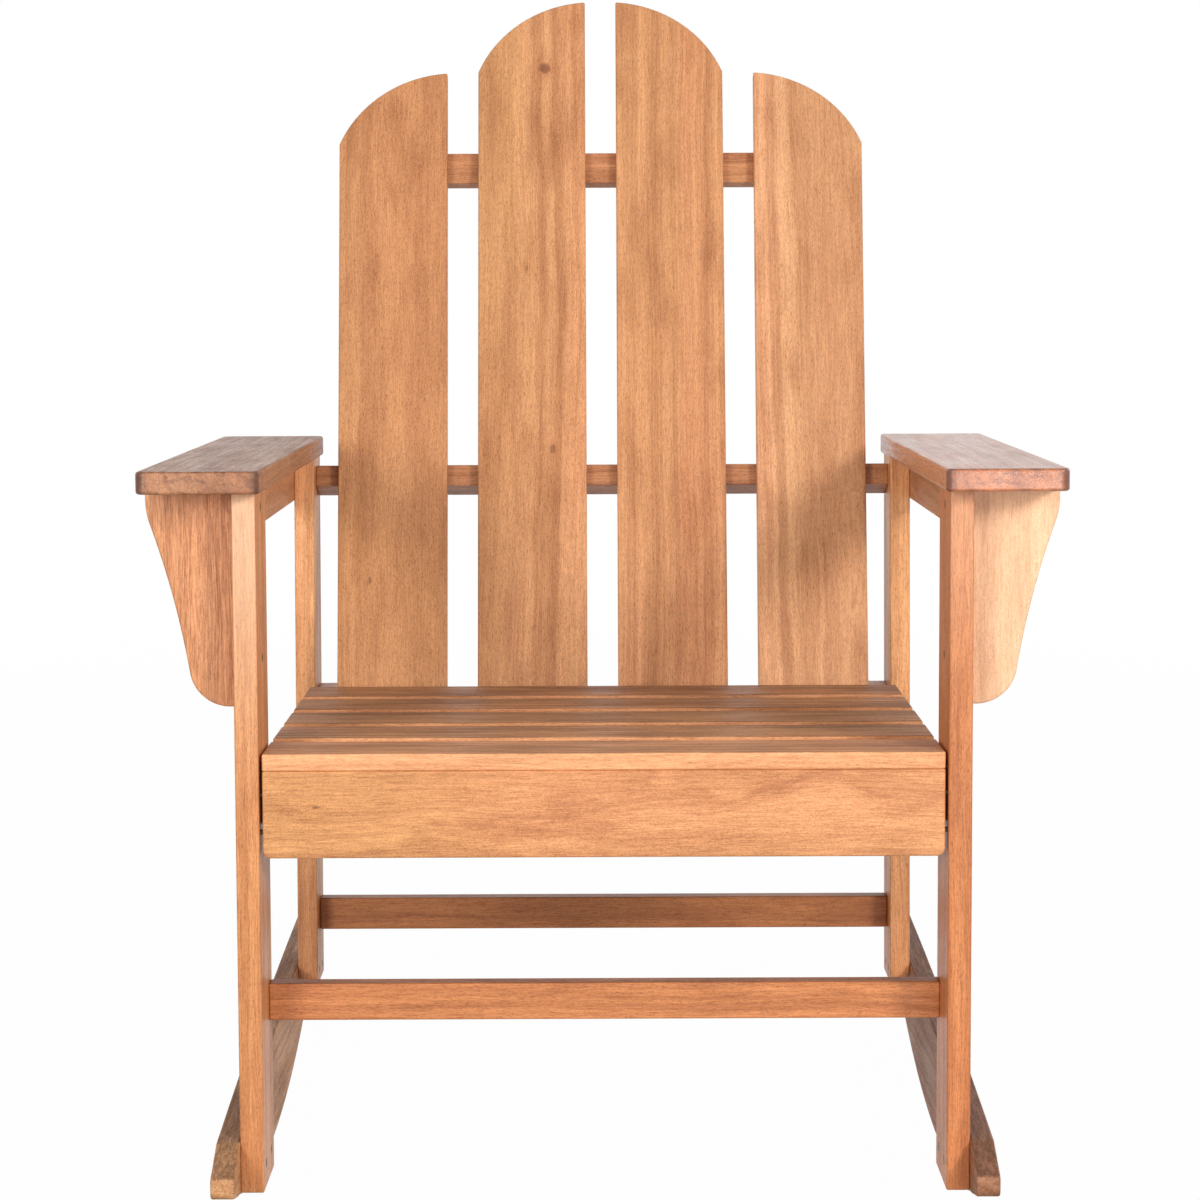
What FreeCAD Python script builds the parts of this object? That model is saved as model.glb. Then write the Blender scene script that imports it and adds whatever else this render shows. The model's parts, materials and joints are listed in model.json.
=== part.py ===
import FreeCAD, Part
import math
import os

import Sketcher
from FreeCAD import Placement, Rotation, Vector

# A rocking chair of flat hardwood boards, held together by countersunk wood screws.
# The boards are drawn in the chair's own frame: X to the right as seen from the front,
# Y from the front legs towards the back, Z up from the front legs' feet, seat level.
# At the end the whole chair leans back onto the point of its rockers where it balances.

doc = FreeCAD.newDocument("RockingChair")
sheet = doc.addObject("Spreadsheet::Sheet", "Dims")

dimensions = {
    # legs: a front pair, upright, and a rear pair, raked back
    "seat_clear": 548,          # between the legs' inner faces
    "leg_thickness": 19,
    "front_leg_depth": 82,
    "arm_underside": 564,       # height of the legs' tops
    "rear_leg_depth": 69,
    "rear_leg_front": 529,      # the rear legs' front edge, at the height below
    "rear_leg_height": 300,
    "rear_leg_rake": 2.8,       # degrees
    "rear_leg_lap": 20.5,       # how far the rear legs reach down beside the rockers
    "rear_foot_round": 14,
    # armrests, with a shaped bracket and a rail under each
    "arm_thickness": 18,
    "arm_width": 97,
    "arm_front_overhang": 28,
    "arm_rear_reach": 44,       # behind the rear legs' front edges
    "arm_inner_overhang": 6,
    "arm_corner_round": 8,
    "bracket_thickness": 19,
    "bracket_height": 174,
    "bracket_lip": 8.5,         # straight part under the armrest
    "bracket_shoulder_drop": 29,    # from the armrest to where the shoulder ends
    "bracket_shoulder_inset": 4,    # how far the shoulder has drawn in there
    "bracket_shoulder_round": 62.5,
    "bracket_hollow": 695,      # radius of the hollow edge
    "bracket_heel": 26.5,       # height where the lower rounding starts
    "bracket_waist": 38.1,      # width there
    "bracket_toe": 6,           # flat part of the lower end
    "bracket_round": 32.7,
    "bracket_screw_drop": 14,   # from the armrest to the upper screw
    "arm_rail_height": 42,
    "arm_rail_thickness": 19,
    # seat
    "seat_top": 356,
    "seat_slat_count": 5,
    "seat_slat_width": 72,
    "seat_back_gap": 24,        # from the last slat to the back
    "seat_slat_thickness": 14,
    "seat_end_gap": 2.5,        # from a slat's end to the leg
    "apron_height": 70,
    "apron_thickness": 19,
    "apron_round": 6,
    "seat_rail_height": 45,
    "seat_rail_thickness": 19,
    "seat_rail_end_gap": 10,    # from a rail's rear end to the rear leg's back edge
    # stretchers between the legs
    "stretcher_height": 30.5,
    "stretcher_thickness": 19,
    "front_stretcher_inset": 7,     # from the front legs' back edges
    "front_stretcher_foot": 128.5,
    "rear_stretcher_inset": 29.5,   # from the rear legs' front edges
    "rear_stretcher_foot": 107,
    # back: slats on three cross bars, all leaning together
    "back_lean": 22,            # degrees
    "back_inset": 22,           # the slats' rear face, from the rear legs' front edges
    "back_drop": 19,            # the lower bar's middle, below the armrests
    "slat_thickness": 14,
    "slat_foot_width": 102.5,
    "slat_top_width": 105.5,
    "slat_foot_gap": 28.5,
    "slat_top_gap": 30.5,
    "slat_crest": 493,          # inner slats' top, above the lower bar's middle
    "outer_slat_drop": 77,
    "crown_radius": 121,
    "shoulder_depth": 77,       # from a slat's crest down to its outer shoulder
    "upper_bar_height": 32,
    "upper_bar_thickness": 14,
    "upper_bar_drop": 4,        # below the outer slats' shoulders
    "upper_bar_inset": 12.75,   # from the outer edges of the outer slats' feet
    "lower_bar_height": 21,
    "lower_bar_depth": 30,
    "foot_bar_height": 45,
    "foot_bar_thickness": 19,
    # rockers, on the legs' outer faces
    "rocker_thickness": 19,
    "rocker_radius": 1350,
    "rocker_middle": 247,       # where the arc is lowest while the seat is level
    "rocker_drop": 24.5,        # the arc's lowest point, below the front legs' feet
    "rocker_nose": 47,          # reach in front of the front legs
    "rocker_tail": 740,         # the rear end, behind the front legs' front faces
    "rocker_nose_height": 16,
    "rocker_shoulder": 42,      # height of the top edge at the front legs' front faces
    "rocker_tail_height": 18.5,
    "rocker_crown": 13000,      # radius of the nearly straight top edge
    "rocker_round": 6,
    # eased edges
    "edge_ease": 1.6,
    "arm_ease": 2.4,
    # wood screws
    "screw_radius": 2,
    "screw_head_radius": 4,
    "screw_head_height": 2.4,
    "screw_tip": 5,
    "screw_recess": 1.2,
    "screw_clearance": 0.15,
    "bore_extra": 1,
    "short_screw": 24,
    "foot_screw": 28,
    "board_screw": 31,
    "rail_screw": 42,
    "end_screw": 50,
    "long_screw": 70,
    "arm_screw_sink": 10,
    "seat_screw_sink": 22,
    "bar_screw_sink": 8,
    "slat_screw_spread": 22,    # from a slat's middle to its screws
    "seat_rail_screw_spread": 14,
    "screw_inset": 20,          # from a leg's edge to its screws
    "rocker_screw_height": 20,
    "rear_rocker_screw_height": 12,     # above the rear legs' lower ends
}
for row, (alias, size) in enumerate(dimensions.items(), start=1):
    sheet.set(f"A{row}", alias)
    sheet.set(f"B{row}", str(size))
    sheet.setAlias(f"B{row}", alias)
doc.recompute()


def rocker_arc(y):
    """The height of the rockers' lower edge, as an expression."""
    across = f"({y} - Dims.rocker_middle)"
    return (f"(Dims.rocker_radius - Dims.rocker_drop"
            f" - sqrt(Dims.rocker_radius ^ 2 - {across} ^ 2))")


def rocker_top(y):
    """The height of the rockers' top edge behind the shoulder, as an expression."""
    rise = f"({place['rocker_tail_top']} - Dims.rocker_shoulder) / Dims.rocker_tail"
    return (f"(Dims.rocker_shoulder + {y} * {rise}"
            f" + {y} * (Dims.rocker_tail - {y}) / (2 * Dims.rocker_crown))")


def rear_leg_y(height):
    """The rear legs' front edge at a height, as an expression."""
    return (f"(Dims.rear_leg_front"
            f" + ({height} - Dims.rear_leg_height) * tan(Dims.rear_leg_rake))")


# Places that several boards share, as expressions on the sheet
place = {}


def share(name, expression):
    place[name] = f"({expression})"


share("leg_in", "Dims.seat_clear / 2")
share("leg_out", "Dims.seat_clear / 2 + Dims.leg_thickness")
share("arm_in", "Dims.seat_clear / 2 - Dims.arm_inner_overhang")
share("arm_out", f"{place['arm_in']} + Dims.arm_width")
share("arm_back", f"{rear_leg_y('Dims.arm_underside')} + Dims.arm_rear_reach")
share("bracket_back", "(Dims.front_leg_depth + Dims.bracket_thickness) / 2")
share("bracket_foot", "Dims.arm_underside - Dims.bracket_height")
share("arm_rail_foot", "Dims.arm_underside - Dims.arm_rail_height")
share("slat_under", "Dims.seat_top - Dims.seat_slat_thickness")
share("seat_end", "Dims.seat_clear / 2 - Dims.seat_end_gap")
share("apron_foot", f"{place['slat_under']} - Dims.apron_height")
share("seat_rail_foot", f"{place['slat_under']} - Dims.seat_rail_height")
share("seat_rail_in", "Dims.seat_clear / 2 - Dims.seat_rail_thickness")
share("seat_rail_end", f"{rear_leg_y(place['slat_under'])} + Dims.rear_leg_depth"
      " - Dims.seat_rail_end_gap")
share("back_z", "Dims.arm_underside - Dims.back_drop")
share("back_y", f"{rear_leg_y(place['back_z'])} + Dims.back_inset")
share("seat_depth", f"{place['back_y']}"
      f" - ({place['back_z']} - {place['slat_under']}) * tan(Dims.back_lean)"
      " - Dims.slat_thickness / cos(Dims.back_lean) - Dims.seat_back_gap")
share("foot_bar_drop", f"({place['back_z']} - {place['slat_under']}"
      " + Dims.seat_rail_height / 2) / cos(Dims.back_lean)")
share("slat_foot", f"{place['foot_bar_drop']} + Dims.foot_bar_height / 2")
share("outer_crest", "Dims.slat_crest - Dims.outer_slat_drop")
share("upper_bar_up", f"{place['outer_crest']} - Dims.shoulder_depth"
      " - Dims.upper_bar_drop - Dims.upper_bar_height / 2")
share("upper_bar_end", "2 * Dims.slat_foot_width + 1.5 * Dims.slat_foot_gap"
      " - Dims.upper_bar_inset")
share("front_stretcher_front", "Dims.front_leg_depth - Dims.front_stretcher_inset"
      " - Dims.stretcher_thickness")
share("rear_stretcher_front", f"{rear_leg_y('Dims.rear_stretcher_foot')}"
      " + Dims.rear_stretcher_inset")
share("rocker_nose_top", f"{rocker_arc('-Dims.rocker_nose')} + Dims.rocker_nose_height")
share("rocker_tail_top", f"{rocker_arc('Dims.rocker_tail')} + Dims.rocker_tail_height")
share("rear_leg_foot", f"{rocker_top('Dims.rear_leg_front')} - Dims.rear_leg_lap")


def number(expression):
    """The value in millimetres or degrees of an expression on the sheet."""
    return float(sheet.evalExpression(str(expression)))


def short_arc(start, end, radius):
    """The short arc that runs anticlockwise from start to end."""
    along = end - start
    right = Vector(along.y, -along.x, 0).normalize()
    bulge = radius - math.sqrt(radius * radius - along.Length ** 2 / 4)
    return Part.Arc(start, (start + end) * 0.5 + right * bulge, end)


def draw(sketch, corners):
    """Draws a closed outline, anticlockwise. Each corner is (x, y), or (x, y, radius, side)
    where the edge that leaves it is an arc: side is 1 where that bulges outwards and -1
    where it is hollow. Every value is an expression."""
    points = [Vector(number(c[0]), number(c[1]), 0) for c in corners]
    ends = []
    for index, corner in enumerate(corners):
        start = points[index]
        end = points[(index + 1) % len(points)]
        if len(corner) == 2:
            sketch.addGeometry(Part.LineSegment(start, end), False)
            ends.append((1, 2))
            continue
        radius = number(corner[2])
        hollow = corner[3] < 0
        curve = short_arc(end, start, radius) if hollow else short_arc(start, end, radius)
        edge = sketch.addGeometry(curve, False)
        ends.append((2, 1) if hollow else (1, 2))
        bind(sketch, Sketcher.Constraint("Radius", edge, radius), corner[2])
    for index, corner in enumerate(corners):
        following = (index + 1) % len(corners)
        sketch.addConstraint(Sketcher.Constraint(
            "Coincident", index, ends[index][1], following, ends[following][0]))
        near_end = ends[index][0]
        bind(sketch, Sketcher.Constraint(
            "DistanceX", -1, 1, index, near_end, points[index].x), corner[0])
        bind(sketch, Sketcher.Constraint(
            "DistanceY", -1, 1, index, near_end, points[index].y), corner[1])


def bind(sketch, constraint, expression):
    """Adds a constraint whose value follows the sheet."""
    index = sketch.addConstraint(constraint)
    sketch.setExpression(f"Constraints[{index}]", str(expression))


def board(name, plane, corners, near, thickness, ease="Dims.edge_ease", rounding=None):
    """A flat board with eased edges. plane is the plane of its outline, and near is where
    its nearer face lies along X, -Y or Z: the board grows from there along that way.
    rounding is a radius and a test for the edges that are rounded first."""
    body = doc.addObject("PartDesign::Body", name)
    outline = body.newObject("Sketcher::SketchObject", name + "_outline")
    support = next(f for f in body.Origin.OriginFeatures if f.Role == plane + "_Plane")
    outline.AttachmentSupport = [(support, "")]
    outline.MapMode = "FlatFace"
    outline.setExpression("AttachmentOffset.Base.z", near)
    draw(outline, corners)
    pad = body.newObject("PartDesign::Pad", name + "_board")
    pad.Profile = outline
    pad.setExpression("Length", thickness)
    shaped = pad
    if rounding:
        radius, chosen = rounding
        doc.recompute()
        shaped = body.newObject("PartDesign::Fillet", name + "_rounding")
        shaped.Base = (pad, [f"Edge{index}" for index, edge
                             in enumerate(pad.Shape.Edges, start=1) if chosen(edge)])
        shaped.setExpression("Radius", radius)
    edges = body.newObject("PartDesign::Fillet", name + "_edges")
    edges.Base = (shaped, [])
    edges.UseAllEdges = True
    edges.setExpression("Radius", ease)
    body.Tip = edges
    return body


def rectangle(left, right, low, high):
    return [(left, low), (right, low), (right, high), (left, high)]


# Where a place in the leaning back lies: X across, Y back from the slats' rear face,
# Z up along the slats from the middle of the lower bar
back_frame = Placement(
    Vector(0, number(place["back_y"]), number(place["back_z"])),
    Rotation(Vector(1, 0, 0), -sheet.back_lean))


def countersunk(clearance, length):
    """A tapered head and a shank along +Z, with the head's face at the origin."""
    radius = sheet.screw_radius + clearance
    height = sheet.screw_head_height
    head = Part.makeCone(sheet.screw_head_radius + clearance, radius, height)
    return head.fuse(Part.makeCylinder(radius, length - height, Vector(0, 0, height)))


def screw(length):
    """A countersunk wood screw with a point and a cross recess."""
    tip = Vector(0, 0, length - sheet.screw_tip)
    point = Part.makeCone(sheet.screw_radius, 0, sheet.screw_tip, tip)
    wide = sheet.screw_head_radius * 1.1
    narrow = sheet.screw_head_radius * 0.24
    slot = Part.makeBox(wide, narrow, sheet.screw_recess, Vector(-wide / 2, -narrow / 2, 0))
    crossed = slot.rotated(Vector(0, 0, 0), Vector(0, 0, 1), 90)
    return countersunk(0, tip.z).fuse(point).cut(slot.fuse(crossed))


def bore(length, sink):
    """The clearance hole, countersink and counterbore for such a screw."""
    above = sink + sheet.bore_extra
    mouth = Part.makeCylinder(sheet.screw_head_radius + sheet.screw_clearance, above,
                              Vector(0, 0, -above))
    return mouth.fuse(countersunk(sheet.screw_clearance, length + sheet.bore_extra))


def fasteners(name, length, spots, sink=0, mirrored=True):
    """A group of alike screws, and the bores that they need. Each spot is the point where
    the screw enters the wood and the way that it goes, on the right-hand side."""
    screws = []
    bores = []
    for point, way in spots:
        for side in (1, -1) if mirrored else (1,):
            at = Vector(side * point.x, point.y, point.z)
            towards = Vector(side * way.x, way.y, way.z).normalize()
            turn = Rotation(Vector(0, 0, 1), towards)
            placed = Placement(at + towards * sink, turn).toMatrix()
            screws.append(screw(length).transformed(placed, True))
            bores.append(bore(length, sink).transformed(placed, True))
    group = doc.addObject("Part::Feature", name)
    group.Shape = Part.makeCompound(screws)
    holes = doc.addObject("Part::Feature", name + "_bores")
    holes.Shape = Part.makeCompound(bores)
    return group, holes


outward = Vector(1, 0, 0)
inward = Vector(-1, 0, 0)
upward = Vector(0, 0, 1)
leg_in = number(place["leg_in"])
leg_out = number(place["leg_out"])
arm_rail_middle = number(place["arm_rail_foot"]) + sheet.arm_rail_height / 2
seat_rail_middle = number(place["seat_rail_foot"]) + sheet.seat_rail_height / 2
front_leg_middle = sheet.front_leg_depth / 2


def rear_leg_middle(height):
    return number(rear_leg_y(height)) + sheet.rear_leg_depth / 2


def in_back(x, behind, up):
    return back_frame.multVec(Vector(x, behind, up))


def slat_middle(which, up):
    """Half-way across an inner (0) or outer (1) slat, at a height along the back."""
    foot = number(place["slat_foot"])
    share = (up + foot) / (sheet.slat_crest + foot)
    gap = sheet.slat_foot_gap + share * (sheet.slat_top_gap - sheet.slat_foot_gap)
    width = sheet.slat_foot_width + share * (sheet.slat_top_width - sheet.slat_foot_width)
    return (which + 0.5) * (gap + width)


def rocker_spots():
    spots = []
    for way in (-1, 1):
        front = front_leg_middle + way * (front_leg_middle - sheet.screw_inset)
        spots.append((Vector(leg_in, front, sheet.rocker_screw_height), outward))
        height = number(place["rear_leg_foot"]) + sheet.rear_rocker_screw_height
        rear = rear_leg_middle(height) + way * (sheet.rear_leg_depth / 2 - sheet.screw_inset)
        spots.append((Vector(leg_in, rear, height), outward))
    return spots


def bracket_spots():
    top = sheet.arm_underside - sheet.bracket_screw_drop
    low = number(place["bracket_foot"]) + sheet.bracket_round + sheet.bracket_toe
    return [(Vector(leg_in, front_leg_middle, height), outward) for height in (top, low)]


def arm_rail_spots():
    rail_out = leg_out + sheet.arm_rail_thickness
    front = (number(place["bracket_back"]) + sheet.front_leg_depth) / 2
    rear = number(rear_leg_y(arm_rail_middle)) + sheet.screw_inset / 2
    return [(Vector(rail_out, y, arm_rail_middle), inward) for y in (front, rear)]


def lower_bar_end_spots():
    middle = in_back(0, sheet.lower_bar_depth / 2, 0)
    return [(Vector(leg_out + sheet.arm_rail_thickness, middle.y, middle.z), inward)]


def arm_spots():
    x = leg_out + sheet.arm_rail_thickness / 2
    foot = number(place["arm_rail_foot"])
    first = sheet.front_leg_depth + 2 * sheet.screw_inset
    last = number(place["arm_back"]) - sheet.front_leg_depth - sheet.screw_inset
    return [(Vector(x, y, foot), upward) for y in (first, (first + last) / 2, last)]


def apron_spots():
    foot = number(place["apron_foot"])
    heights = (foot + sheet.screw_inset, foot + sheet.apron_height - sheet.screw_inset)
    return [(Vector(leg_out, sheet.apron_thickness / 2, z), inward) for z in heights]


def seat_rail_spots():
    x = leg_in - sheet.seat_rail_thickness
    rear = rear_leg_middle(seat_rail_middle)
    quarter = sheet.seat_rail_height / 4
    return [(Vector(x, leg + way * sheet.seat_rail_screw_spread,
                    seat_rail_middle - way * quarter), outward)
            for leg in (front_leg_middle, rear) for way in (-1, 1)]


def seat_slat_front(index):
    """The front edge of a seat slat, as an expression: the slats share the seat's depth."""
    return (f"{index} * ({place['seat_depth']} - Dims.seat_slat_width)"
            " / (Dims.seat_slat_count - 1)")


def seat_slat_spots():
    x = leg_in - sheet.seat_rail_thickness / 2
    foot = number(place["seat_rail_foot"])
    fronts = [number(seat_slat_front(i)) for i in range(int(sheet.seat_slat_count))]
    return [(Vector(x, y + sheet.seat_slat_width / 2, foot), upward) for y in fronts]


def stretcher_spots():
    half_thick = sheet.stretcher_thickness / 2
    half_high = sheet.stretcher_height / 2
    return [
        (Vector(leg_out, number(place["front_stretcher_front"]) + half_thick,
                sheet.front_stretcher_foot + half_high), inward),
        (Vector(leg_out, number(place["rear_stretcher_front"]) + half_thick,
                sheet.rear_stretcher_foot + half_high), inward),
    ]


def foot_bar_end_spots():
    low = -number(place["foot_bar_drop"]) - sheet.foot_bar_height / 5
    middle = in_back(0, sheet.foot_bar_thickness / 2, low)
    return [(Vector(leg_in, middle.y, middle.z), inward)]


def slat_spots(behind, up):
    """Two screws for each slat, from behind a bar."""
    forward = back_frame.Rotation.multVec(Vector(0, -1, 0))
    return [(in_back(slat_middle(which, up) + way * sheet.slat_screw_spread, behind, up),
             forward) for which in (0, 1) for way in (-1, 1)]


groups = {}


def add_group(name, length, spots, sink=0):
    groups[name] = fasteners(name, length, spots, sink)


add_group("rocker_screws", sheet.board_screw, rocker_spots())
add_group("bracket_screws", sheet.end_screw, bracket_spots())
add_group("arm_rail_screws", sheet.board_screw, arm_rail_spots())
add_group("lower_bar_end_screws", sheet.long_screw, lower_bar_end_spots())
add_group("armrest_screws", sheet.rail_screw, arm_spots(), sheet.arm_screw_sink)
add_group("apron_screws", sheet.end_screw, apron_spots())
add_group("seat_rail_screws", sheet.board_screw, seat_rail_spots())
add_group("seat_slat_screws", sheet.board_screw, seat_slat_spots(), sheet.seat_screw_sink)
add_group("stretcher_screws", sheet.end_screw, stretcher_spots())
add_group("foot_bar_end_screws", sheet.end_screw, foot_bar_end_spots())
add_group("upper_bar_screws", sheet.short_screw,
          slat_spots(sheet.upper_bar_thickness, number(place["upper_bar_up"])))
add_group("lower_bar_screws", sheet.board_screw,
          slat_spots(sheet.lower_bar_depth, 0), sheet.bar_screw_sink)
add_group("foot_bar_screws", sheet.foot_screw,
          slat_spots(sheet.foot_bar_thickness,
                     sheet.foot_bar_height / 5 - number(place["foot_bar_drop"])))

nodes = {}


def bored(label, blank, *group_names):
    """The finished board: the blank with the bores of the screws that pass through it."""
    tool = doc.addObject("Part::Compound", label + "_all_bores")
    tool.Links = [groups[name][1] for name in group_names]
    cut = doc.addObject("Part::Cut", label + "_bored")
    cut.Base = blank
    cut.Tool = tool
    cut.Label = label
    nodes[label] = cut
    return cut


def pair(label, blank, *group_names):
    """A right-hand board, and the left-hand one as its mirror image."""
    right = bored(label + "_right", blank, *group_names)
    left = doc.addObject("Part::Mirroring", label + "_left_mirrored")
    left.Source = right
    left.Base = Vector(0, 0, 0)
    left.Normal = Vector(1, 0, 0)
    left.Label = label + "_left"
    nodes[left.Label] = left


def front_leg():
    outline = rectangle("0", "Dims.front_leg_depth", "0", "Dims.arm_underside")
    blank = board("front_leg", "YZ", outline, place["leg_in"], "Dims.leg_thickness")
    pair("front_leg", blank, "rocker_screws", "bracket_screws", "arm_rail_screws",
         "apron_screws", "seat_rail_screws", "stretcher_screws")


def rear_leg():
    """A raked board whose outer lower corner is rounded clear of the rocker."""
    foot = place["rear_leg_foot"]
    low = rear_leg_y(foot)
    high = rear_leg_y("Dims.arm_underside")
    outline = [(low, foot), (f"{low} + Dims.rear_leg_depth", foot),
               (f"{high} + Dims.rear_leg_depth", "Dims.arm_underside"),
               (high, "Dims.arm_underside")]

    def outer_lower(edge):
        corner = (leg_out, number(foot))
        return all(math.dist((end.X, end.Z), corner) < 0.01 for end in edge.Vertexes)

    blank = board("rear_leg", "YZ", outline, place["leg_in"], "Dims.leg_thickness",
                  rounding=("Dims.rear_foot_round", outer_lower))
    pair("rear_leg", blank, "rocker_screws", "arm_rail_screws", "lower_bar_end_screws",
         "seat_rail_screws", "stretcher_screws")


def armrest():
    inner, outer = place["arm_in"], place["arm_out"]
    front, back = "-Dims.arm_front_overhang", place["arm_back"]
    turn = "Dims.arm_corner_round"
    outline = [
        (f"{inner} + {turn}", front), (f"{outer} - {turn}", front, turn, 1),
        (outer, f"{front} + {turn}"), (outer, f"{back} - {turn}", turn, 1),
        (f"{outer} - {turn}", back), (f"{inner} + {turn}", back, turn, 1),
        (inner, f"{back} - {turn}"), (inner, f"{front} + {turn}", turn, 1),
    ]
    blank = board("armrest", "XY", outline, "Dims.arm_underside", "Dims.arm_thickness",
                  "Dims.arm_ease")
    pair("armrest", blank, "armrest_screws")


def arm_bracket():
    """The board that faces forward under the armrest's outer half. Its outer edge has a
    full shoulder, a long hollow and a rounded heel."""
    inner, outer = place["leg_out"], place["arm_out"]
    foot = place["bracket_foot"]
    outline = [
        (inner, foot),
        (f"{inner} + Dims.bracket_toe", foot, "Dims.bracket_round", 1),
        (f"{inner} + Dims.bracket_waist", f"{foot} + Dims.bracket_heel",
         "Dims.bracket_hollow", -1),
        (f"{outer} - Dims.bracket_shoulder_inset",
         "Dims.arm_underside - Dims.bracket_shoulder_drop", "Dims.bracket_shoulder_round", 1),
        (outer, "Dims.arm_underside - Dims.bracket_lip"),
        (outer, "Dims.arm_underside"),
        (inner, "Dims.arm_underside"),
    ]
    blank = board("arm_bracket", "XZ", outline, f"-{place['bracket_back']}",
                  "Dims.bracket_thickness")
    pair("arm_bracket", blank, "bracket_screws")


def arm_rail():
    outline = rectangle(place["bracket_back"], place["arm_back"],
                        place["arm_rail_foot"], "Dims.arm_underside")
    blank = board("arm_rail", "YZ", outline, place["leg_out"], "Dims.arm_rail_thickness")
    pair("arm_rail", blank, "arm_rail_screws", "lower_bar_end_screws", "armrest_screws")


def seat_rail():
    """Hidden under the slats' ends, along the legs' inner faces."""
    outline = rectangle("Dims.apron_thickness", place["seat_rail_end"],
                        place["seat_rail_foot"], place["slat_under"])
    blank = board("seat_rail", "YZ", outline, place["seat_rail_in"],
                  "Dims.seat_rail_thickness")
    pair("seat_rail", blank, "seat_rail_screws", "seat_slat_screws", "foot_bar_end_screws")


def seat_slats():
    for index in range(int(sheet.seat_slat_count)):
        front = seat_slat_front(index)
        outline = rectangle(f"-{place['seat_end']}", place["seat_end"],
                            front, f"{front} + Dims.seat_slat_width")
        name = f"seat_slat_{index + 1}"
        blank = board(name + "_blank", "XY", outline, place["slat_under"],
                      "Dims.seat_slat_thickness")
        bored(name, blank, "seat_slat_screws")


def apron():
    """The board across the front, under the first slat, with rounded lower corners."""
    end, foot, turn = place["seat_end"], place["apron_foot"], "Dims.apron_round"
    outline = [
        (f"-{end} + {turn}", foot), (f"{end} - {turn}", foot, turn, 1),
        (end, f"{foot} + {turn}"), (end, place["slat_under"]),
        (f"-{end}", place["slat_under"]), (f"-{end}", f"{foot} + {turn}", turn, 1),
    ]
    blank = board("apron", "XZ", outline, "-Dims.apron_thickness", "Dims.apron_thickness")
    bored("front_apron", blank, "apron_screws")


def stretcher(label, front, foot):
    outline = rectangle(f"-{place['leg_in']}", place["leg_in"],
                        foot, f"{foot} + Dims.stretcher_height")
    blank = board(label + "_blank", "XZ", outline, f"-({front} + Dims.stretcher_thickness)",
                  "Dims.stretcher_thickness")
    bored(label, blank, "stretcher_screws")


def back_bar(label, end, low, high, thickness, *group_names):
    """A cross bar behind the slats, drawn in the frame of the leaning back."""
    outline = rectangle(f"-{end}", end, low, high)
    blank = board(label + "_blank", "XZ", outline, f"-({thickness})", thickness)
    blank.Placement = back_frame
    bored(label, blank, *group_names)


def back_slat(label, which, crest):
    """A slat that widens upwards, its top an arc that rises towards the chair's middle.
    The arc's centre is half a gap beyond the slat's inner edge. which counts outwards."""
    foot = f"-{place['slat_foot']}"
    foot_step = "(Dims.slat_foot_width + Dims.slat_foot_gap)"
    top_step = "(Dims.slat_top_width + Dims.slat_top_gap)"
    foot_in = f"{which} * {foot_step} + Dims.slat_foot_gap / 2"
    top_in = f"{which} * {top_step} + Dims.slat_top_gap / 2"
    crest_fall = "Dims.slat_top_gap * Dims.slat_top_gap / 8 / Dims.crown_radius"
    outline = [
        (foot_in, foot),
        (f"{foot_in} + Dims.slat_foot_width", foot),
        (f"{top_in} + Dims.slat_top_width", f"{crest} - Dims.shoulder_depth",
         "Dims.crown_radius", 1),
        (top_in, f"{crest} - {crest_fall}"),
    ]
    blank = board(label, "XZ", outline, "0", "Dims.slat_thickness")
    blank.Placement = back_frame
    pair(label, blank, "upper_bar_screws", "lower_bar_screws", "foot_bar_screws")


def rocker():
    """A long board whose lower edge is one arc, with a blunt nose and tail."""
    nose, tail = "-Dims.rocker_nose", "Dims.rocker_tail"
    outline = [
        (nose, rocker_arc(nose), "Dims.rocker_radius", 1),
        (tail, rocker_arc(tail)),
        (tail, place["rocker_tail_top"], "Dims.rocker_crown", 1),
        ("0", "Dims.rocker_shoulder"),
        (nose, place["rocker_nose_top"]),
    ]

    def across(edge):
        ends = [end.Point for end in edge.Vertexes]
        return abs(ends[0].x - ends[-1].x) > sheet.rocker_thickness / 2

    blank = board("rocker", "YZ", outline, place["leg_out"], "Dims.rocker_thickness",
                  rounding=("Dims.rocker_round", across))
    pair("rocker", blank, "rocker_screws")


front_leg()
rear_leg()
armrest()
arm_bracket()
arm_rail()
seat_rail()
seat_slats()
apron()
stretcher("front_stretcher", place["front_stretcher_front"], "Dims.front_stretcher_foot")
stretcher("rear_stretcher", place["rear_stretcher_front"], "Dims.rear_stretcher_foot")
back_bar("upper_back_bar", place["upper_bar_end"],
         f"{place['upper_bar_up']} - Dims.upper_bar_height / 2",
         f"{place['upper_bar_up']} + Dims.upper_bar_height / 2",
         "Dims.upper_bar_thickness", "upper_bar_screws")
back_bar("lower_back_bar", place["leg_in"],
         "-Dims.lower_bar_height / 2", "Dims.lower_bar_height / 2",
         "Dims.lower_bar_depth", "lower_bar_screws", "lower_bar_end_screws")
back_bar("foot_back_bar", place["seat_rail_in"],
         f"-{place['slat_foot']}", f"Dims.foot_bar_height - {place['slat_foot']}",
         "Dims.foot_bar_thickness", "foot_bar_screws", "foot_bar_end_screws")
back_slat("back_slat_inner", 0, "Dims.slat_crest")
back_slat("back_slat_outer", 1, place["outer_crest"])
rocker()
doc.recompute()


def balance(solids):
    """The lean at which the chair's centre of mass is straight above the rockers' contact
    with the floor, which is straight below the centre of their arc."""
    weight = sum(solid.Volume for solid in solids)
    mass_y = sum(solid.CenterOfMass.y * solid.Volume for solid in solids) / weight
    mass_z = sum(solid.CenterOfMass.z * solid.Volume for solid in solids) / weight
    below_centre = sheet.rocker_radius - sheet.rocker_drop - mass_z
    return math.degrees(math.atan2(mass_y - sheet.rocker_middle, below_centre))


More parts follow.
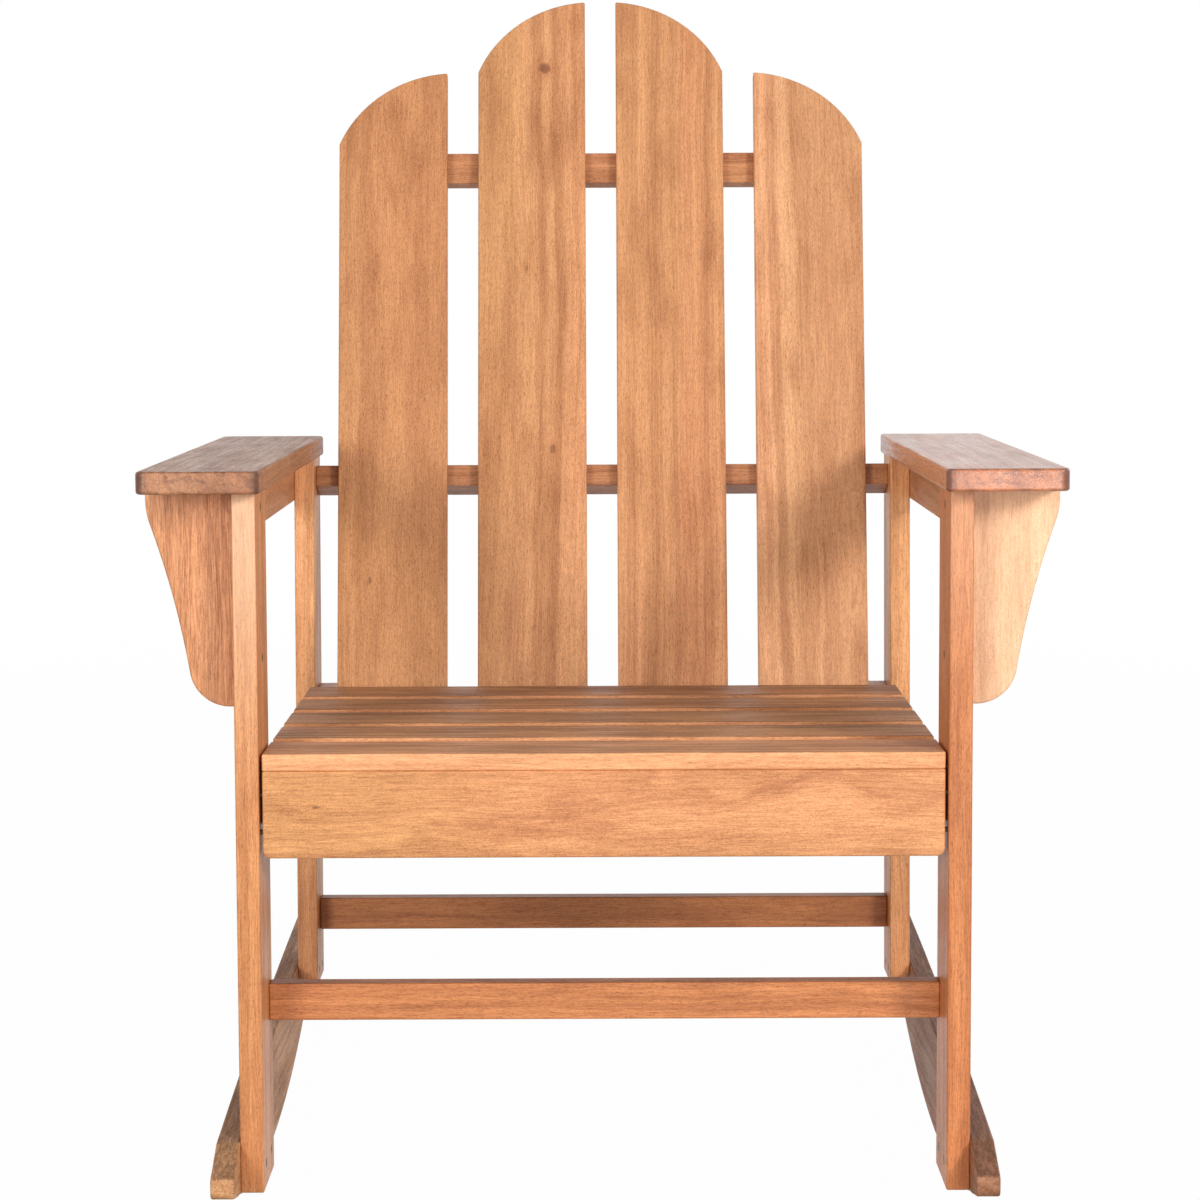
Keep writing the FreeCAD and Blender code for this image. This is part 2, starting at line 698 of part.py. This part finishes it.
boards = [solid for node in nodes.values() for solid in node.Shape.Solids]
lean = balance(boards)
leaning = Placement(Vector(0, 0, 0), Rotation(Vector(1, 0, 0), -lean))
moved = Part.makeCompound(boards)
moved.Placement = leaning
extent = moved.optimalBoundingBox(False, False)
settled = Placement(Vector(0, -(extent.YMin + extent.YMax) / 2, -extent.ZMin),
                    leaning.Rotation)
print("leans back", round(lean, 3), "degrees; depth", round(extent.YLength, 1),
      "height", round(extent.ZLength, 1), "shift", settled.Base)

for name, (group, holes) in groups.items():
    group.Label = name
    nodes[name] = group
for node in nodes.values():
    if node.TypeId != "Part::Mirroring":
        node.Placement = settled
doc.recompute()

for item in doc.Objects:
    if "Invalid" in item.State or "Error" in item.State:
        raise RuntimeError(f"{item.Label} failed: {item.State}")
os.makedirs("parts", exist_ok=True)
for label, node in nodes.items():
    if node.Shape.isNull() or not node.Shape.isValid():
        raise RuntimeError(f"{label} has no valid shape")
for label, node in nodes.items():
    node.Shape.exportStep(f"parts/{label}.step")
print("wrote", len(nodes), "nodes")
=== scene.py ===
import json
import math

import bpy
from mathutils import Euler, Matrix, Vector


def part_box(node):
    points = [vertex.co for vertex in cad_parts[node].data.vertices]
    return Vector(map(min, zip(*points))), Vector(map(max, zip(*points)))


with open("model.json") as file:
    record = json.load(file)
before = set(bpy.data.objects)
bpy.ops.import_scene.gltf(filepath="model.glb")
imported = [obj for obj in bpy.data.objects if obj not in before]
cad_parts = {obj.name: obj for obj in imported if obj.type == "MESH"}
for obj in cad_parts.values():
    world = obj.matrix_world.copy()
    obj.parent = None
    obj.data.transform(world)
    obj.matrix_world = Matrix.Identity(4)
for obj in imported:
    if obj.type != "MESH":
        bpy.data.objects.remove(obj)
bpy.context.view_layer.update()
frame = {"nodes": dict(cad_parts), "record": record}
print("frame loaded with", len(frame["nodes"]), "nodes")

# the seat's middle and its upward direction at rest give the chair's own tilt
seatMount = next(m for m in frame["record"]["mounts"] if m["name"] == "seat_top")
seatPoint = Vector(seatMount["pos_m"])
seatUp = Vector(seatMount["axis"])
chairLean = math.degrees(math.atan2(seatUp.y, seatUp.z))
print("the chair leans back", round(chairLean, 2), "degrees")


def paint(red, green, blue):  # a colour as it looks on screen, 0 to 255
    return tuple(((c / 255 + 0.055) / 1.055) ** 2.4 for c in (red, green, blue)) + (1,)


class Value:  # one output socket; sums on it add Math nodes
    def __init__(self, graph, socket):
        self.graph = graph
        self.socket = socket

    def calc(self, operation, *others):
        inputs = dict(enumerate((self,) + others))
        return self.graph.add("ShaderNodeMath", {"operation": operation}, inputs)

    def __add__(self, other):
        return self.calc("ADD", other)

    def __sub__(self, other):
        return self.calc("SUBTRACT", other)

    def __mul__(self, other):
        return self.calc("MULTIPLY", other)

    def __truediv__(self, other):
        return self.calc("DIVIDE", other)

    def __pow__(self, other):
        return self.calc("POWER", other)

    def __neg__(self):
        return self.calc("MULTIPLY", -1)

    def __rsub__(self, other):
        return (-self) + other

    def __rtruediv__(self, other):
        return (self ** -1) * other

    __radd__ = __add__
    __rmul__ = __mul__

    def step(self, low, high):  # 0 at low, 1 at high, smooth between
        settings = {"interpolation_type": "SMOOTHSTEP"}
        return self.graph.add("ShaderNodeMapRange", settings, {0: self, 1: low, 2: high})


class Graph:  # the nodes of a material, or of the world
    def __init__(self, owner):
        if isinstance(owner, str):
            owner = bpy.data.materials.new(owner)
            owner.use_nodes = True
        self.material = owner
        self.tree = owner.node_tree
        self.shader = self.tree.nodes.get("Principled BSDF")

    def add(self, kind, settings, inputs, output=0):
        node = self.tree.nodes.new(kind)
        for name, setting in settings.items():
            setattr(node, name, setting)
        for key, given in inputs.items():
            self.feed(node.inputs[key], given)
        return Value(self, node.outputs[output])

    def feed(self, socket, given):
        if isinstance(given, Value):
            self.tree.links.new(given.socket, socket)
        else:
            socket.default_value = given

    def finish(self, inputs):
        for key, given in inputs.items():
            self.feed(self.shader.inputs[key], given)
        return self.material

    def noise(self, x, y, z, detail=2.0, roughness=0.5):
        place = self.add("ShaderNodeCombineXYZ", {}, {0: x, 1: y, 2: z})
        return self.add("ShaderNodeTexNoise", {"noise_dimensions": "3D"}, {
            "Vector": place, "Scale": 1.0, "Detail": detail, "Roughness": roughness})

    def mix(self, factor, first, second, blend="MIX"):
        settings = {"data_type": "RGBA", "blend_type": blend}
        inputs = {0: factor, 6: first, 7: second}
        return self.add("ShaderNodeMix", settings, inputs, 2)

    def tint(self, colour, factor, kind):  # multiplies by one of the timber's tints
        return self.mix(factor, colour, timber[kind + "Tint"], "MULTIPLY")


# How the timber looks, whatever board it is sawn into, and the painted shade and sheen laid on
# it.
# Lengths are in metres, each tint multiplies a board's own tone, and a pair says at which noise
# levels a mark starts and is full.
timber = {
    "wanderAlong": 2.3,         # turns per metre of the slow and the quick bends in the grain
    "wanderAcross": 3.0,
    "rippleAlong": 11,
    "rippleAcross": 30,
    "rippleWidth": 0.005,
    "ringWidth": 0.0085,
    "ringDrift": 0.7,
    "ringsDeep": (0.40, 0.70),
    "ringsPale": (0.44, 0.28),
    "zoneWidth": 0.034,
    "zoneDrift": 1.3,
    "zonesOlive": (0.40, 0.64),
    "zonesPink": (0.52, 0.30),
    "poreLength": 0.0045,
    "poreWidth": 0.00065,
    "poresOpen": (0.545, 0.68),
    "finePoreLength": 0.0024,
    "finePoreWidth": 0.0004,
    "finePoresOpen": (0.53, 0.70),
    "fibreLength": 0.017,
    "fibreWidth": 0.0011,
    "fibresDeep": (0.42, 0.70),
    "fibresPale": (0.46, 0.26),
    "strandLength": 0.11,
    "strandWidth": 0.0026,
    "strandsDeep": (0.42, 0.70),
    "curlLength": 0.0021,       # worm-like marks where the grain is interlocked
    "curlWidth": 0.0017,
    "curlLine": 0.075,
    "cloudLength": 0.12,
    "cloudWidth": 0.035,
    "cloudsDeep": (0.45, 0.75),
    "bumpStrength": 0.25,
    "bumpDepth": 0.0005,
    "coatRough": 0.2,
    "paleTint": (1.16, 1.17, 1.18, 1),
    "deepTint": (0.68, 0.58, 0.50, 1),
    "oliveTint": (0.84, 0.88, 0.74, 1),
    "pinkTint": (1.03, 0.91, 0.90, 1),
    "poreTint": (0.50, 0.40, 0.33, 1),
    "stainTint": (0.36, 0.29, 0.25, 1),
    # the colour of the painted highlight, a pale sheen on faces that look forward
    "sheenColour": paint(252, 218, 186),
    "knotTint": (0.22, 0.15, 0.14, 1),
    "haloTint": (0.80, 0.68, 0.60, 1),
    "topTint": (0.50, 0.51, 0.54, 1),      # painted shade, darker and greyer, on the faces that look up
}


# The wood of one board. A board's own numbers: along is its length's direction, tilt its extra
# lean, pith where the tree's heart lay across it and sway how far the rings wander.
def hardwood(name, board):
    graph = Graph("wood_" + name)
    along, across, through = boardAxes(graph, name, board)
    seed = board["seed"] * 3.17
    bends = timber["wanderAcross"]
    wander = graph.noise(along * timber["wanderAlong"] + seed, across * bends,
                         through * bends, 2.0) - 0.5
    ripples = timber["rippleAcross"]
    ripple = graph.noise(along * timber["rippleAlong"] + seed, across * ripples,
                         through * ripples, 2.0, 0.6) - 0.5
    bent = across + ripple * timber["rippleWidth"] + wander * board["sway"] * 0.5

    # rings round a wandering heart show as bands and sweeps on the sawn faces
    pithAcross, pithThrough = board["pith"]
    fromHeart = across - pithAcross + wander * board["sway"]
    offHeart = through - pithThrough + ripple * board["sway"] * 0.3
    radius = (fromHeart ** 2 + offHeart ** 2) ** 0.5
    rings = graph.noise(radius / timber["ringWidth"], seed, along * timber["ringDrift"],
                        3.0, 0.6)
    zones = graph.noise(radius / timber["zoneWidth"], seed + 9, along * timber["zoneDrift"],
                        1.0)
    cloud = graph.noise(along / timber["cloudLength"] + seed, bent / timber["cloudWidth"],
                        through / timber["cloudWidth"], 2.0, 0.6)

    fibres = grain(graph, along, bent, through, seed, "fibre", 2.0)
    strands = grain(graph, along, bent, through, seed, "strand", 2.0)
    pores = grain(graph, along, bent, through, seed, "pore", 1.0)
    finePores = grain(graph, along, bent, through, seed, "finePore", 1.0)
    curl = grain(graph, along, bent, through, seed, "curl", 1.0)
    curlLines = (curl - 0.5).calc("ABSOLUTE").step(timber["curlLine"], 0.0)
    curled = curlLines * (cloud - 0.5 + board["curl"])
    openPores = pores.step(*timber["poresOpen"])
    fineOpen = finePores.step(*timber["finePoresOpen"])

    # from broad marks to fine ones: zones, sides, rings, clouds, streaks, pores and knots
    olive = zones.step(*timber["zonesOlive"]) * board["olive"]
    colour = graph.tint(board["toneColour"], olive, "olive")
    # some sides paint shade: the rear legs darken towards the bottom under the seat, and the
    # outer right back slat towards its lower end in the armrest's shadow
    for axis, kind, start, full, amount in board["sides"]:
        way = along + wander * 0.2 if axis == "along" else across + wander * 0.05
        colour = graph.tint(colour, way.step(start, full) * amount, kind)
    colour = graph.tint(colour, zones.step(*timber["zonesPink"]) * board["pink"], "pink")
    colour = graph.tint(colour, rings.step(*timber["ringsDeep"]) * board["bands"], "deep")
    colour = graph.tint(colour, rings.step(*timber["ringsPale"]) * board["bands"], "pale")
    colour = graph.tint(colour, cloud.step(*timber["cloudsDeep"]) * board["clouds"], "deep")
    streaks = strands.step(*timber["strandsDeep"]) * board["fibres"] * 0.7
    colour = graph.tint(colour, streaks, "deep")
    colour = graph.tint(colour, fibres.step(*timber["fibresDeep"]) * board["fibres"], "deep")
    colour = graph.tint(colour, fibres.step(*timber["fibresPale"]) * board["fibres"], "pale")
    colour = graph.tint(colour, curled * 0.75, "deep")
    colour = graph.tint(colour, fineOpen * board["pores"] * 0.6, "pore")
    colour = graph.tint(colour, openPores * board["pores"], "pore")
    for knot in board["knots"]:
        colour = addKnot(graph, colour, along, across, knot)
    # painted highlight: a pale sheen on the faces that look forward, rising towards the top of
    # the board
    if board["paintedSheen"]:
        start, full, amount = board["paintedSheen"]
        forward = facing(graph, "Y").step(-0.3, -0.9)
        sheen = (along + wander * 0.1).step(start, full) * (1.25 - fibres * 0.5) * amount
        colour = graph.mix(sheen * forward, colour, timber["sheenColour"])
    if board["stained"]:
        colour = addStain(graph, colour, name, along, across, through, board)
    # painted shade: the faces that look up get less lamp light, so they are darkened and greyed,
    # mottled along the grain
    if board["top"]:
        faceUp = facing(graph, "Z").step(0.55, 0.9)
        mottle = (cloud * 0.6 + strands * 0.8 - 0.2).step(0.3, 0.7) * 0.6 + 0.4
        colour = graph.tint(colour, faceUp * mottle * board["top"], "top")

    height = openPores * -0.5 - fineOpen * 0.25 - fibres * 0.5 - strands * board["ridges"]
    bump = graph.add("ShaderNodeBump", {}, {
        "Strength": timber["bumpStrength"], "Distance": timber["bumpDepth"],
        "Height": height})
    streaky = (cloud + strands - 1.0) * board["mottle"]
    rough = fibres * 0.16 + openPores * 0.14 + streaky + board["rough"]
    return graph.finish({"Base Color": colour, "Roughness": rough, "Normal": bump,
                         "Specular IOR Level": board["shine"],
                         "Coat Weight": board["coat"], "Coat Roughness": timber["coatRough"]})


def facing(graph, axis):  # how far a face looks along one of the frame's axes
    normal = graph.add("ShaderNodeNewGeometry", {}, {}, "Normal")
    return graph.add("ShaderNodeSeparateXYZ", {}, {0: normal}, axis)


# a board's own axes from its middle: along it, across its broad face and through it
def boardAxes(graph, name, board):
    low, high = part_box(name)
    tilt = -math.radians(chairLean + board["tilt"])
    coordinates = graph.add("ShaderNodeTexCoord", {}, {}, "Object")
    place = graph.add("ShaderNodeMapping", {"vector_type": "TEXTURE"}, {
        "Vector": coordinates, "Location": (low + high) / 2, "Rotation": (tilt, 0, 0)})
    axes = {key: graph.add("ShaderNodeSeparateXYZ", {}, {0: place}, key.upper())
            for key in "xyz"}
    along = axes.pop(board["along"])
    across = axes.pop(board["across"])
    through = axes.popitem()[1]
    return along, across, through


# streaks of one kind, as long and wide as the timber's numbers say
def grain(graph, along, across, through, seed, kind, detail):
    length, width = timber[kind + "Length"], timber[kind + "Width"]
    return graph.noise(along / length + seed, across / width, through / width, detail)


# how every knot fades, in its own widths from its middle
knotLook = {"halo": (2.8, 0.8), "core": (1.15, 0.5), "ragged": 300}


def addKnot(graph, colour, along, across, knot):
    upAway = (along - knot["along"]) / knot["long"]
    sideAway = (across - knot["across"]) / knot["wide"]
    away = (upAway ** 2 + sideAway ** 2) ** 0.5
    ragged = knotLook["ragged"]
    edge = graph.noise(along * ragged, across * ragged, 0.0, 2.0) - 0.5
    colour = graph.tint(colour, away.step(*knotLook["halo"]) * knot["dark"] * 0.7, "halo")
    core = (away + edge * 0.6).step(*knotLook["core"])
    return graph.tint(colour, core * knot["dark"], "knot")


# the stain on an armrest's front end: how deep it goes, how many blotches there are per metre,
# and how far from the corners and edges it starts and is full
armEnd = {"depth": 0.004, "blotches": 120, "blotchesThrough": 260, "cornerStart": 0.006,
          "cornerFull": -0.004, "edge": (0.0085, 0.0105)}


# dark blotches in the end grain of an armrest's front, deepest at its corners and edges
def addStain(graph, colour, name, along, across, through, board):
    low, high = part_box(name)
    half = (high - low) / 2
    depth = armEnd["depth"]
    onFront = along.step(depth * 1.5 - half.y, depth - half.y)
    blotches = graph.noise(across * armEnd["blotches"], along * armEnd["blotches"],
                           through * armEnd["blotchesThrough"] + board["seed"], 3.0, 0.6)
    cornerStart, cornerFull = half.x - armEnd["cornerStart"], half.x - armEnd["cornerFull"]
    corner = (across.calc("ABSOLUTE") + blotches * 0.012).step(cornerStart, cornerFull)
    edge = (through.calc("ABSOLUTE") + blotches * 0.002).step(*armEnd["edge"])
    stain = corner.calc("MAXIMUM", edge * 0.6) + blotches.step(0.50, 0.66) * 0.5
    return graph.tint(colour, stain * onFront * board["stained"], "stain")


# What a board has unless it says otherwise: its tone on screen, how strongly each mark shows,
# how it shines, and how it lies. A side is an axis, a tint, where along that axis the tint
# starts and is full, and its strength.
tones = {
    "tone": (226, 166, 118),
    "olive": 0.25,
    "pink": 0.3,
    "bands": 0.75,
    "clouds": 0.6,
    "fibres": 0.55,
    "curl": 0.5,
    "pores": 0.55,
    "rough": 0.34,
    "mottle": 0.1,
    "ridges": 0.0,
    "shine": 0.4,
    "coat": 0.0,
    "stained": 0.0,
    "paintedSheen": None,
    "top": 0.0,
    "across": "x",
    "tilt": 0.0,
    "pith": (0.09, 0.05),
    "sway": 0.03,
    "sides": (),
    "knots": (),
}

rearRake = 2.8      # degrees, added to the chair's own lean
backLean = 22.0
slat = {"along": "z", "tilt": backLean, "tone": (222, 159, 108), "fibres": 0.4}
bar = {"along": "x", "across": "z", "tilt": backLean, "tone": (214, 150, 104)}
# the front legs carry a painted pale sheen on their forward faces towards the top
frontLeg = {"along": "z", "curl": 0.3, "tone": (233, 162, 105),
            "paintedSheen": (0.02, 0.3, 0.4)}
# painted shade: darker towards the bottom, under the seat
rearLeg = {"along": "z", "tilt": rearRake, "curl": 0.3, "tone": (249, 181, 121),
           "sides": [("along", "deep", -0.02, -0.2, 0.65)]}
# each board's number for its upward faces sets how much painted shade they get
arm = {"along": "y", "tone": (190, 131, 88), "bands": 0.9, "mottle": 0.28, "rough": 0.30,
       "ridges": 0.7, "shine": 0.6, "fibres": 0.8, "stained": 1.0, "top": 0.5}
seatSlat = {"along": "x", "across": "y", "tone": (230, 166, 115), "rough": 0.44, "mottle": 0.3,
            "top": 1.1}
rail = {"along": "y"}
crosspiece = {"along": "x", "across": "z", "top": 0.8}
rocker = {"along": "y", "across": "z", "rough": 0.5, "mottle": 0.3, "fibres": 0.8, "top": 1.5}

# the knots' places from their boards' middles, and their half sizes
topKnot = {"along": 0.3065, "across": 0.0127, "long": 0.0066, "wide": 0.0064, "dark": 0.7}
smallKnot = {"along": -0.092, "across": 0.0205, "long": 0.0052, "wide": 0.0034, "dark": 0.55}
fleck = {"along": 0.094, "across": -0.005, "long": 0.004, "wide": 0.002, "dark": 0.4}
lowFleck = {"along": -0.184, "across": -0.0185, "long": 0.004, "wide": 0.002, "dark": 0.5}
apronFleck = {"along": -0.229, "across": 0.006, "long": 0.004, "wide": 0.0012, "dark": 0.6}

# the boards, in the order of their seeds
boards = {
    "back_slat_outer_left": {**slat, "pith": (0.02, 0.11), "curl": 0.75, "knots": [lowFleck],
                             "sides": [("across", "deep", 0.005, 0.03, 0.25)]},
    "back_slat_inner_left": {**slat, "pith": (-0.05, 0.06), "curl": 0.7, "tone": (235, 171, 120),
                             "sides": [("across", "olive", 0.0, -0.03, 0.4),
                                       ("across", "deep", 0.0, -0.03, 0.22)],
                             "knots": [topKnot, smallKnot, fleck]},
    "back_slat_inner_right": {**slat, "pith": (0.16, 0.02), "tone": (230, 165, 115)},
    # painted shadow of the right armrest on the lower part of this slat
    "back_slat_outer_right": {**slat, "pith": (0.03, 0.05), "tone": (245, 184, 135),
                              "sides": [("along", "deep", -0.05, -0.2, 0.2)]},
    "upper_back_bar": bar,
    "lower_back_bar": {**bar, "tone": (199, 138, 94)},
    "foot_back_bar": bar,
    "front_leg_left": frontLeg,
    "front_leg_right": {**frontLeg, "tone": (216, 139, 84), "paintedSheen": (0.1, 0.3, 0.2)},
    "rear_leg_left": rearLeg,
    # painted shade: darker towards the bottom, under the seat
    "rear_leg_right": {**rearLeg, "sides": [("along", "deep", -0.02, -0.2, 0.4)]},
    "armrest_left": arm,
    "armrest_right": {**arm, "tone": (207, 126, 73), "rough": 0.22, "shine": 0.8, "coat": 0.3,
                      "top": 0.1},
    "arm_bracket_left": {"along": "z", "tone": (223, 156, 107), "bands": 0.75, "fibres": 0.95,
                         "clouds": 0.2, "pores": 0.35},
    "arm_bracket_right": {"along": "z", "tone": (250, 202, 160), "bands": 0.3, "fibres": 0.35,
                          "clouds": 0.2, "pores": 0.25, "olive": 0.1, "pith": (-0.01, 0.06),
                          "sides": [("across", "deep", -0.02, -0.045, 0.2)]},
    "arm_rail_left": rail,
    "arm_rail_right": rail,
    "seat_rail_left": rail,
    "seat_rail_right": rail,
    # pale tone: partly the board's own colour, partly painted light for its brightly lit front
    # edge
    "seat_slat_1": {**seatSlat, "tone": (255, 185, 134), "bands": 0.35, "clouds": 0.25,
                    "pores": 0.35, "top": 1.15},
    "seat_slat_2": {**seatSlat, "tone": (235, 172, 120)},
    "seat_slat_3": {**seatSlat, "tone": (224, 162, 112)},
    "seat_slat_4": {**seatSlat, "tone": (222, 158, 108)},
    "seat_slat_5": {**seatSlat, "tone": (222, 158, 110)},
    "front_apron": {"along": "x", "across": "z", "pith": (0.02, 0.08), "sway": 0.09,
                    "olive": 0.35, "curl": 0.9, "tone": (232, 165, 111), "pores": 0.3,
                    "sides": [("along", "olive", -0.02, -0.2, 0.8)],
                    "knots": [apronFleck]},
    "front_stretcher": {**crosspiece, "tone": (215, 139, 86)},
    # dark tone and strong clouds: partly its own dark wood, partly painted shade under the seat
    "rear_stretcher": {**crosspiece, "tone": (196, 126, 74), "clouds": 0.9},
    "rocker_left": {**rocker, "tone": (221, 167, 119)},
    "rocker_right": {**rocker, "tone": (174, 124, 92)},
}


def dress(name, material):
    obj = frame["nodes"][name]
    obj.data.materials.clear()
    obj.data.materials.append(material)


for number, (name, own) in enumerate(boards.items()):
    board = {**tones, "seed": number + 1, **own}
    board["toneColour"] = paint(*board["tone"])
    dress(name, hardwood(name, board))
print("dressed", len(boards), "boards")

# the steel is darker than bare zinc: partly painted shade, so the screw shanks seen in the gaps
# at the apron's ends read as dark joint lines
steel = {"colour": paint(118, 100, 80), "mottle": paint(70, 58, 46), "wear": (0.4, 0.7),
         "spots": 900, "rough": 0.45}


def zincSteel():
    graph = Graph("screw_steel")
    coordinates = graph.add("ShaderNodeTexCoord", {}, {}, "Object")
    x, y, z = (graph.add("ShaderNodeSeparateXYZ", {}, {0: coordinates}, k) for k in "XYZ")
    many = steel["spots"]
    spots = graph.noise(x * many, y * many, z * many, 3.0)
    colour = graph.mix(spots.step(*steel["wear"]), steel["colour"], steel["mottle"])
    return graph.finish({"Base Color": colour, "Roughness": spots * 0.2 + steel["rough"],
                         "Metallic": 1.0})


screwSteel = zincSteel()
for name in frame["nodes"]:
    if name not in boards:
        dress(name, screwSteel)
print("dressed", len(frame["nodes"]) - len(boards), "groups of screws")

# the studio: a white floor and surround, a lamp on each side in front and a low one between
# them, and weaker ones behind
studio = {
    "floorSize": 400.0,
    "floorColour": (0.4, 0.4, 0.4, 1),
    "floorRough": 0.9,
    "floorGlow": 0.985,             # how little of the chair's shadow shows
    "shadowReach": (1.2, 2.6),      # where the floor's shadow starts and ends fading
    "surround": 0.38,
    "lamps": {
        "lampLeft": {"at": (-1.6, -3.17, 1.49), "size": (0.9, 0.9), "power": 56},
        "lampRight": {"at": (1.93, -2.76, 1.96), "size": (0.7, 0.7), "power": 65},
        "lampFront": {"at": (0.75, -3.6, 0.75), "size": (1.4, 0.7), "power": 20},
        "lampBehindLeft": {"at": (-2.7, 2.2, 1.25), "size": (1.0, 1.0), "power": 8},
        "lampBehindRight": {"at": (2.7, 2.2, 1.25), "size": (1.0, 1.0), "power": 16},
    },
    "aim": (0, 0, 0.42),
}


def isSeen(graph):  # camera rays, and those that mirror or pass through
    path = "ShaderNodeLightPath"
    camera = graph.add(path, {}, {}, "Is Camera Ray")
    glossy = graph.add(path, {}, {}, "Is Glossy Ray")
    through = graph.add(path, {}, {}, "Is Transmission Ray")
    return camera.calc("MAXIMUM", glossy).calc("MAXIMUM", through)


def makeFloor():
    bpy.ops.mesh.primitive_plane_add(size=studio["floorSize"])
    floor = bpy.context.object
    floor.name = "floor"
    graph = Graph("floor_white")
    graph.finish({"Base Color": studio["floorColour"], "Roughness": studio["floorRough"],
                  "Specular IOR Level": 0.0})
    glow = graph.add("ShaderNodeEmission", {}, {"Color": (1, 1, 1, 1), "Strength": 1.0})
    plain = Value(graph, graph.shader.outputs[0])
    place = graph.add("ShaderNodeTexCoord", {}, {}, "Object")
    away = graph.add("ShaderNodeVectorMath", {"operation": "LENGTH"}, {0: place}, "Value")
    white = away.step(*studio["shadowReach"]) * (1 - studio["floorGlow"]) + studio["floorGlow"]
    mixed = graph.add("ShaderNodeMixShader", {}, {0: isSeen(graph) * white, 1: plain, 2: glow})
    output = graph.tree.nodes["Material Output"]
    graph.feed(output.inputs["Surface"], mixed)
    floor.data.materials.append(graph.material)


def makeLamps():
    for name, lamp in studio["lamps"].items():
        light = bpy.data.lights.new(name, "AREA")
        light.shape = "RECTANGLE"
        light.size, light.size_y = lamp["size"]
        light.energy = lamp["power"]
        obj = bpy.data.objects.new(name, light)
        obj.location = lamp["at"]
        way = Vector(studio["aim"]) - Vector(lamp["at"])
        obj.rotation_euler = way.to_track_quat("-Z", "Y").to_euler()
        bpy.context.scene.collection.objects.link(obj)


def makeSurround():
    world = bpy.data.worlds.new("surround")
    world.use_nodes = True
    bpy.context.scene.world = world
    graph = Graph(world)
    back = world.node_tree.nodes["Background"]
    back.inputs["Color"].default_value = (1, 1, 1, 1)
    strength = isSeen(graph) * (1 - studio["surround"]) + studio["surround"]
    graph.feed(back.inputs["Strength"], strength)


makeFloor()
makeLamps()
makeSurround()
scene = bpy.context.scene
scene.view_settings.view_transform = "Standard"
print("studio ready")

# the camera, placed from the seat's middle in the chair's own tilted frame
view = {"across": -0.0024, "back": -2.81595, "up": 0.3691, "down": 5.443, "roll": -0.23,
        "lens": 99.0, "sensor": 36.0, "reach": 200.0}


def makeCamera():
    tilt = Euler((-math.radians(chairLean), 0, 0))
    offset = Vector((view["across"], view["back"], view["up"]))
    offset.rotate(tilt)
    camera = bpy.data.objects.new("camera", bpy.data.cameras.new("camera"))
    camera.data.sensor_width = view["sensor"]
    camera.data.lens = view["lens"]
    camera.data.clip_end = view["reach"]
    camera.location = seatPoint + offset
    upright = Euler((math.radians(90 - view["down"] - chairLean), 0, 0)).to_matrix()
    roll = Euler((0, 0, math.radians(view["roll"]))).to_matrix()
    camera.rotation_euler = (upright @ roll).to_euler()
    scene.collection.objects.link(camera)
    scene.camera = camera
    print("camera at", [round(c, 4) for c in camera.location])


makeCamera()
